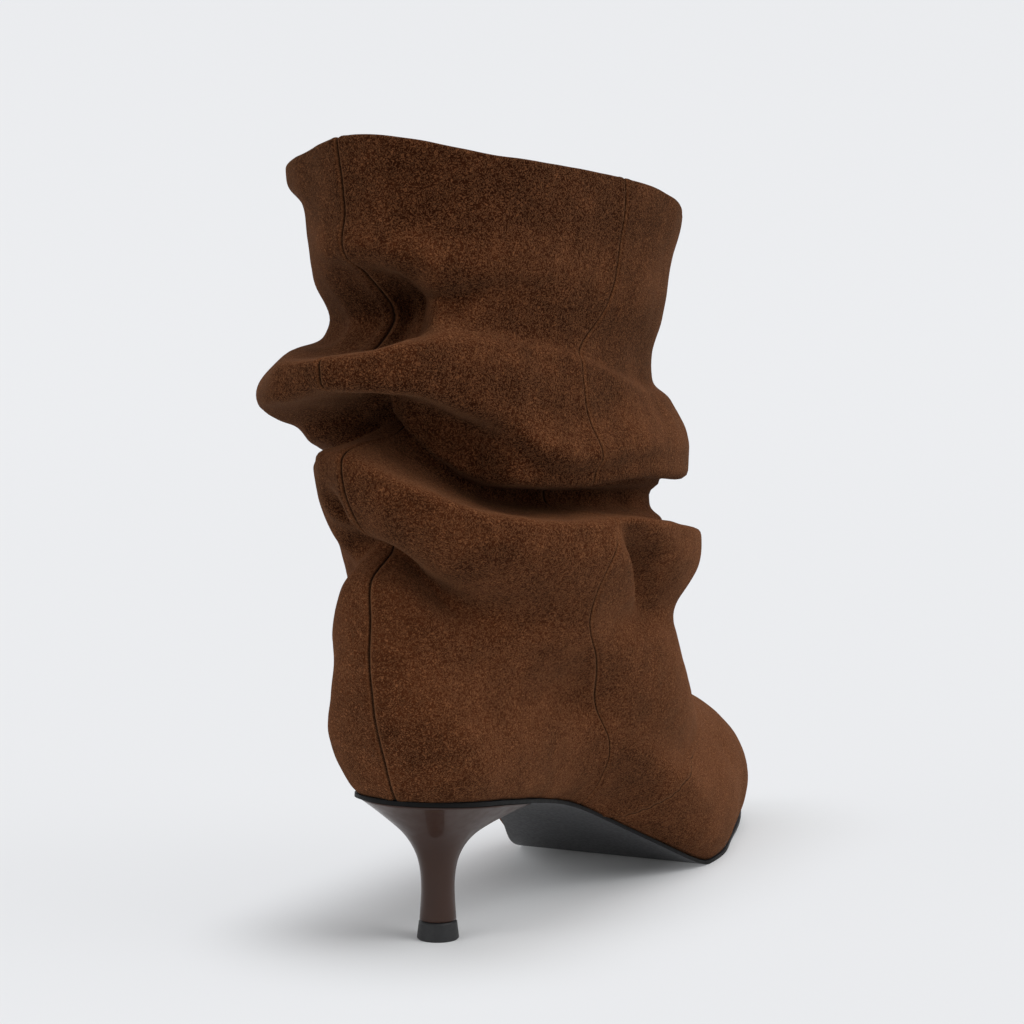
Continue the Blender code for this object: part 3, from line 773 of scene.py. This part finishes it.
def mix_colours(tree, share, first, second):
    """Mixes two colours or colour sockets by a share."""
    node = add(tree, "Mix", data_type="RGBA")
    tree.links.new(share, node.inputs["Factor"])
    for socket, value in ((node.inputs[6], first), (node.inputs[7], second)):
        if isinstance(value, tuple):
            socket.default_value = value
        else:
            tree.links.new(value, socket)
    return node.outputs[2]


def make_suede():
    material, tree, shader = new_material("suede")
    place = add(tree, "TexCoord").outputs["Object"]
    nap = add(tree, "Group", node_tree=nap_group)
    tree.links.new(place, nap.inputs["Place"])
    long_seams = add(tree, "Attribute", attribute_name="seam_distance").outputs["Fac"]
    vamp = add(tree, "Attribute", attribute_name="vamp_distance").outputs["Fac"]
    seams = maths(tree, "MINIMUM", long_seams, maths(tree, "ABSOLUTE", vamp))
    crest_wear_and_crease_shade = add(tree, "Attribute", attribute_name="crest_wear_and_crease_shade").outputs["Fac"]
    lift = add(tree, "Attribute", attribute_name="lift").outputs["Fac"]
    # clouds of the nap, plus paler worn crests and painted shade in the creases and recesses
    tone = maths(tree, "ADD", nap.outputs["Clouds"], maths(tree, "MULTIPLY", crest_wear_and_crease_shade, CREST_WEAR_AND_CREASE_SHADE))
    # painted light on surfaces that face up, painted shade on those that face down
    tone = maths(tree, "ADD", tone, maths(tree, "MULTIPLY", lift, TILT_PAINTED_LIGHT_AND_SHADE))
    level = add(tree, "SeparateXYZ")
    tree.links.new(place, level.inputs[0])
    # painted light and shade by height: lighter near the floor, darker higher up, lighter at the
    # tube ridge
    for band in PAINTED_LIGHT_AND_SHADE_BANDS:
        tone = maths(tree, "ADD", tone, ranged(tree, level.outputs["Z"], *band))
    tips = maths(tree, "MULTIPLY", nap.outputs["Tufts"], ranged(tree, tone, 0.20, 0.90, 0.55, 1.0))
    dark = mix_colours(tree, ranged(tree, tone, 0.20, 0.85), SUEDE_DARK, SUEDE_MID)
    body = mix_colours(tree, tips, dark, SUEDE_LIGHT)
    edge = ranged(tree, seams, 0.0007, 0.0014, 0.28, 0.0)
    body = mix_colours(tree, edge, body, SUEDE_LIGHT)
    groove = ranged(tree, seams, 0.00018, 0.00062, 0.90, 0.0)
    body = mix_colours(tree, groove, body, SEAM_SHADE)
    tree.links.new(body, shader.inputs["Base Color"])
    shader.inputs["Roughness"].default_value = 0.95
    shader.inputs["Specular IOR Level"].default_value = 0.02
    shader.inputs["Sheen Weight"].default_value = 0.20
    shader.inputs["Sheen Roughness"].default_value = 0.45
    shader.inputs["Sheen Tint"].default_value = (0.90, 0.46, 0.24, 1.0)
    sunk = ranged(tree, seams, 0.0, 0.0007, -1.2, 0.0)
    bump = add(tree, "Bump")
    bump.inputs["Strength"].default_value = 0.9
    bump.inputs["Distance"].default_value = 0.0004
    tree.links.new(maths(tree, "ADD", nap.outputs["Height"], sunk), bump.inputs["Height"])
    tree.links.new(bump.outputs["Normal"], shader.inputs["Normal"])
    return material


suede = make_suede()

# %% [markdown]
# ## Lining
# Inside, the boot is lined with thin smooth leather. It shines a little more than suede, and shows
# only fine pores and faint wrinkles.

# %% Lining material
def make_lining():
    material, tree, shader = new_material("lining")
    place = add(tree, "TexCoord").outputs["Object"]
    wrinkle = noise_at(tree, place, 180, 4.0, distortion=0.8)
    pores = noise_at(tree, place, 1400, 2.0)
    cloud = noise_at(tree, place, 25, 3.0)
    body = mix_colours(tree, ranged(tree, cloud, 0.3, 0.7), (0.085, 0.045, 0.024, 1.0),
                       (0.125, 0.072, 0.042, 1.0))
    tree.links.new(body, shader.inputs["Base Color"])
    tree.links.new(ranged(tree, wrinkle, 0.2, 0.8, 0.50, 0.66), shader.inputs["Roughness"])
    height = maths(tree, "ADD", wrinkle, maths(tree, "MULTIPLY", pores, 0.4))
    bump = add(tree, "Bump")
    bump.inputs["Strength"].default_value = 0.25
    bump.inputs["Distance"].default_value = 0.0005
    tree.links.new(height, bump.inputs["Height"])
    tree.links.new(bump.outputs["Normal"], shader.inputs["Normal"])
    return material


lining = make_lining()

# %% Build the upper
def build_upper():
    mesh = grid_mesh(shell, wrap_rows=True)
    columns = shell.shape[1]
    for index, face in enumerate(mesh.faces):
        face.material_index = 0 if index // columns < suede_rows else 1
    layers = [mesh.verts.layers.float.new(name)
              for name in ("seam_distance", "vamp_distance", "crest_wear_and_crease_shade", "lift")]
    # lift is the upward tilt of the surface, which the suede turns into painted light and shade
    lift = normals_of(smooth_face)[..., 2]
    # the clipped push is positive on rolls, where the nap is worn paler, and negative in creases,
    # where it gives painted shade
    kept = np.stack([np.abs(distances[..., :3]).min(axis=-1), distances[..., 3],
                     np.clip(push / CREST_PUSH, -1, 1), lift], axis=-1)
    fill = len(shell) - len(kept)
    kept = np.concatenate([kept, np.repeat(kept[-1:], fill, axis=0), kept[:1]])
    kept = np.concatenate([kept, kept[:, :1]], axis=1).reshape(-1, 4)
    for vertex, values in zip(mesh.verts, kept.tolist()):
        for layer, value in zip(layers, values):
            vertex[layer] = value
    bmesh.ops.remove_doubles(mesh, verts=mesh.verts, dist=MERGE_DISTANCE)
    finish_piece(mesh, "suede_upper", [suede, lining], "upper")


build_upper()

# %% [markdown]
# ## Sole
# The sole is a thin moulded sheet of charcoal rubber with a painted black edge. It starts as a flat
# grid that is bent to the sole's curve, gets its thickness, and has its sharp rim softened.

# %% Sole and sock
def half_width(station, inset, column):
    """Half width of the inset outline at a station, on the outer (1) or inner (2) side."""
    turn = np.linspace(0, 0.5, 900) if column == 1 else np.linspace(1, 0.5, 900)
    x, s = inset_outline(turn, inset)
    order = np.argsort(s)
    return np.interp(station, s[order], np.abs(x[order]))


def sole_mesh(inset, height, lengthways=150, across=36):
    """A sheet a height above the sole's underside, inside its outline."""
    first = inset / SOLE_LENGTH
    station = first + (1 - 2 * first) * (1 - np.cos(np.linspace(0, np.pi, lengthways + 1))) / 2
    right = half_width(station, inset, 1)
    left = half_width(station, inset, 2)
    right[[0, -1]] = left[[0, -1]] = 0
    shares = np.sin(np.linspace(-1, 1, across + 1) * np.pi / 2)
    places = np.stack([raised(np.where(share > 0, right, left) * share, station, height)
                       for share in shares], axis=1)
    mesh = bmesh.new()
    bmesh.ops.create_grid(mesh, x_segments=across, y_segments=lengthways, size=1)
    mesh.verts.ensure_lookup_table()
    for vertex, place in zip(mesh.verts, places.reshape(-1, 3)):
        vertex.co = place
    bmesh.ops.remove_doubles(mesh, verts=mesh.verts, dist=MERGE_DISTANCE)
    return mesh


def thicken(piece, thickness, soften):
    """Gives a sheet its thickness upward, with a softened rim in the second material."""
    wall = piece.modifiers.new("thickness", "SOLIDIFY")
    wall.thickness = thickness
    wall.offset = 1.0
    wall.material_offset_rim = 1
    edge = piece.modifiers.new("rim", "BEVEL")
    edge.width = soften
    edge.segments = 2
    edge.limit_method = "ANGLE"
    edge.angle_limit = np.radians(50)


def plain_material(name, colour, other, roughness, scale, bump_share, coat=0.0):
    """A moulded or painted finish: two close colours in clouds, and a fine grain."""
    material, tree, shader = new_material(name)
    place = add(tree, "TexCoord").outputs["Object"]
    cloud = noise_at(tree, place, 40, 3.0)
    grain = noise_at(tree, place, scale, 3.0)
    body = mix_colours(tree, ranged(tree, cloud, 0.3, 0.7), colour, other)
    tree.links.new(body, shader.inputs["Base Color"])
    worn = ranged(tree, grain, 0.3, 0.7, roughness - 0.06, roughness + 0.06)
    tree.links.new(worn, shader.inputs["Roughness"])
    shader.inputs["Coat Weight"].default_value = coat
    shader.inputs["Coat Roughness"].default_value = 0.04
    bump = add(tree, "Bump")
    bump.inputs["Strength"].default_value = bump_share
    bump.inputs["Distance"].default_value = 0.0003
    tree.links.new(grain, bump.inputs["Height"])
    tree.links.new(bump.outputs["Normal"], shader.inputs["Normal"])
    return material


sole_rubber = plain_material("sole_rubber", (0.020, 0.020, 0.022, 1), (0.028, 0.028, 0.031, 1),
                             0.50, 900, 0.15)
sole_edge = plain_material("sole_edge", (0.003, 0.003, 0.003, 1), (0.005, 0.005, 0.005, 1),
                           0.60, 500, 0.05)
sole_edge.node_tree.nodes["Principled BSDF"].inputs["Specular IOR Level"].default_value = 0.15
sole_piece = finish_piece(sole_mesh(0.0, 0.0), "sole", [sole_rubber, sole_edge],
                          "outsole")
thicken(sole_piece, SOLE_THICKNESS, 0.0003)
sock_piece = finish_piece(sole_mesh(FEATHER_INSET + WALL + 0.0014, SOLE_THICKNESS + GAP),
                          "sock", [lining, lining], "insole")
thicken(sock_piece, 0.0015, 0.0003)

# %% [markdown]
# ## Heel
# The heel flares from a round stem up into the whole seat of the sole. It is lofted through a few
# sections that change from a circle into the seat's outline, and covered in glossy brown lacquer.

# %% Heel block
HEEL_TOP_LENGTH = 0.057
STEM_WIDTH = 0.0104
TIP_WIDTH = 0.0130
TIP_HEIGHT = 0.0058

# share of the way up, share of the way out to the seat's outline, and how square the front is
HEEL = (
    (0.00, 0.025, 2.0), (0.08, 0.015, 2.0), (0.22, 0.000, 2.0), (0.42, 0.020, 2.0),
    (0.54, 0.080, 2.0), (0.64, 0.180, 2.2), (0.73, 0.320, 2.6), (0.81, 0.500, 3.2),
    (0.89, 0.700, 4.0), (0.95, 0.860, 4.5), (1.00, 1.000, 5.0),
)


def heel_rows(sides=96, count=56):
    """Sections of the heel from the stem's foot up to the sole."""
    turn = np.arange(sides) / sides * 2 * np.pi
    heights, sizes, squares = np.array(HEEL).T
    margin = 0.0006
    half_length = HEEL_TOP_LENGTH / 2
    seat = BALL_WIDTH / 2 * SOLE[5][1] - margin
    result = []
    for height in np.linspace(0, 1, count):
        size = float(spline(heights, sizes, height))
        square = float(spline(heights, squares, height))
        power = np.where(np.cos(turn) < 0, 2 / square, 1.0)
        x = np.sign(np.sin(turn)) * np.abs(np.sin(turn))**power
        y = -np.sign(np.cos(turn)) * np.abs(np.cos(turn))**power
        station = (half_length + y * (half_length - margin)) / SOLE_LENGTH
        widest = half_width(np.clip(station, 0, 1), margin, 1)
        top_x = x * np.where(y < 0, seat, widest)
        top_y = y * (half_length - margin) + half_length - HEEL_SETBACK
        plan_x = np.sin(turn) * STEM_WIDTH / 2 * (1 - size) + top_x * size
        plan_y = -np.cos(turn) * STEM_WIDTH / 2 * (1 - size) + top_y * size
        top = raised(plan_x, (plan_y + HEEL_SETBACK) / SOLE_LENGTH, -GAP)
        foot = TIP_HEIGHT + GAP
        result.append(np.stack([plan_x, plan_y, foot + (top[..., 2] - foot) * height], axis=-1))
    return result


def build_heel():
    rows = heel_rows()
    foot, top = rows[0], rows[-1]
    caps = []
    for share in (0.66, 0.33, 0.0):
        plan = top.mean(axis=0)[:2] + (top[:, :2] - top.mean(axis=0)[:2]) * share
        caps.append(raised(plan[:, 0], (plan[:, 1] + HEEL_SETBACK) / SOLE_LENGTH, -GAP))
    rows = [np.broadcast_to(foot.mean(axis=0), foot.shape)] + rows + caps
    mesh = grid_mesh(np.stack(rows))
    bmesh.ops.remove_doubles(mesh, verts=mesh.verts, dist=MERGE_DISTANCE)
    lacquer = plain_material("lacquer", (0.038, 0.0150, 0.0085, 1), (0.044, 0.018, 0.0105, 1),
                             0.40, 300, 0.0, coat=0.35)
    lacquer.node_tree.nodes["Principled BSDF"].inputs["Specular IOR Level"].default_value = 0.15
    finish_piece(mesh, "heel", [lacquer], "heel_block")


build_heel()

# %% [markdown]
# ## Top piece
# The small rubber piece that takes the wear is turned on the heel's own axis, so its profile is
# spun round once. A thin step separates it from the lacquered stem.

# %% Top piece
def build_top_piece():
    radius = TIP_WIDTH / 2
    neck = STEM_WIDTH / 2 + 0.0006
    profile = [(0, 0), (radius - 0.0004, 0), (radius, 0.0004), (radius - 0.0002, 0.0022),
               (neck + 0.0001, TIP_HEIGHT - 0.0004), (neck - 0.0003, TIP_HEIGHT), (0, TIP_HEIGHT)]
    mesh = bmesh.new()
    corners = [mesh.verts.new((x, 0, z)) for x, z in profile]
    edges = [mesh.edges.new(pair) for pair in zip(corners, corners[1:])]
    bmesh.ops.spin(mesh, geom=corners + edges, cent=(0, 0, 0), axis=(0, 0, 1), angle=2 * np.pi,
                   steps=64, use_merge=True)
    bmesh.ops.remove_doubles(mesh, verts=mesh.verts, dist=MERGE_DISTANCE)
    bmesh.ops.recalc_face_normals(mesh, faces=mesh.faces)
    rubber = plain_material("tip_rubber", (0.010, 0.010, 0.011, 1), (0.016, 0.016, 0.017, 1),
                            0.55, 900, 0.2)
    piece = finish_piece(mesh, "heel_tip", [rubber], "top_piece")
    piece.data.set_sharp_from_angle(angle=np.radians(35))


build_top_piece()

# %% [markdown]
# ## Floor and light
# The photograph shows a pale studio sweep without a horizon, soft light from above with weaker
# light from both sides, and only a faint shadow. The floor is one sheet that curves up into a wall.
# Away from the boot the paper glows by itself, which keeps it as evenly pale as in the photograph.

# %% Studio
SWEEP_LENGTH = 7.0
SWEEP_FLAT = 3.6
SWEEP_RADIUS = 1.4
SWEEP_NEAR = 1.8
SWEEP_HALF_WIDTH = 4.5
GLOW_FROM = 0.015
GLOW_TO = 0.085


def build_sweep():
    mesh = bmesh.new()
    bmesh.ops.create_grid(mesh, x_segments=1, y_segments=60, size=1)
    for vertex in mesh.verts:
        along = (vertex.co.y + 1) / 2 * SWEEP_LENGTH
        bend = np.clip((along - SWEEP_FLAT) / SWEEP_RADIUS, 0, np.pi / 2)
        rest = max(along - SWEEP_FLAT - SWEEP_RADIUS * np.pi / 2, 0)
        y = min(along, SWEEP_FLAT) + SWEEP_RADIUS * np.sin(bend)
        z = SWEEP_RADIUS * (1 - np.cos(bend)) + rest
        vertex.co = (vertex.co.x * SWEEP_HALF_WIDTH, y - SWEEP_NEAR, z)
    turn = Matrix.Rotation(VIEW_AZIMUTH, 3, "Z")
    bmesh.ops.rotate(mesh, verts=mesh.verts, cent=(0, 0, 0), matrix=turn)
    data = bpy.data.meshes.new("sweep")
    mesh.to_mesh(data)
    mesh.free()
    data.shade_smooth()
    sweep = bpy.data.objects.new("sweep", data)
    bpy.context.scene.collection.objects.link(sweep)
    material, tree, shader = new_material("paper")
    shader.inputs["Roughness"].default_value = 0.95
    shader.inputs["Specular IOR Level"].default_value = 0.0
    place = add(tree, "SeparateXYZ")
    tree.links.new(add(tree, "TexCoord").outputs["Object"], place.inputs[0])
    along = maths(tree, "MINIMUM", maths(tree, "MAXIMUM", place.outputs["Y"], 0.0), 0.20)
    ahead = maths(tree, "SUBTRACT", place.outputs["Y"], along)
    aside = place.outputs["X"]
    away = maths(tree, "SQRT", maths(tree, "ADD", maths(tree, "MULTIPLY", ahead, ahead),
                                     maths(tree, "MULTIPLY", aside, aside)))
    far = ranged(tree, away, GLOW_FROM, GLOW_TO)
    tree.links.new(mix_colours(tree, far, (0.80, 0.81, 0.82, 1.0), (0.12, 0.12, 0.12, 1.0)),
                   shader.inputs["Base Color"])
    tree.links.new(mix_colours(tree, far, (0.03, 0.03, 0.03, 1.0), (0.71, 0.72, 0.74, 1.0)),
                   shader.inputs["Emission Color"])
    shader.inputs["Emission Strength"].default_value = 1.0
    data.materials.append(material)


build_sweep()
world = bpy.data.worlds.new("studio")
world.use_nodes = True
world.node_tree.nodes["Background"].inputs["Color"].default_value = (0.98, 0.99, 1.0, 1.0)
world.node_tree.nodes["Background"].inputs["Strength"].default_value = 0.34
bpy.context.scene.world = world


def add_sun(name, energy, angle, toward):
    """A broad soft light that shines from a direction (right, away from the camera, up)."""
    data = bpy.data.lights.new(name, "SUN")
    data.energy = energy
    data.angle = np.radians(angle)
    lamp = bpy.data.objects.new(name, data)
    bpy.context.scene.collection.objects.link(lamp)
    facing = Matrix.Rotation(VIEW_AZIMUTH, 3, "Z") @ Vector(toward)
    lamp.rotation_euler = facing.to_track_quat("Z", "Y").to_euler()


add_sun("overhead", 1.2, 50, (0.35, -0.10, 1.0))
add_sun("right", 0.9, 40, (1.0, -0.45, 0.8))
add_sun("left", 0.6, 40, (-1.0, -0.70, 0.7))
bpy.context.scene.view_settings.view_transform = "Standard"
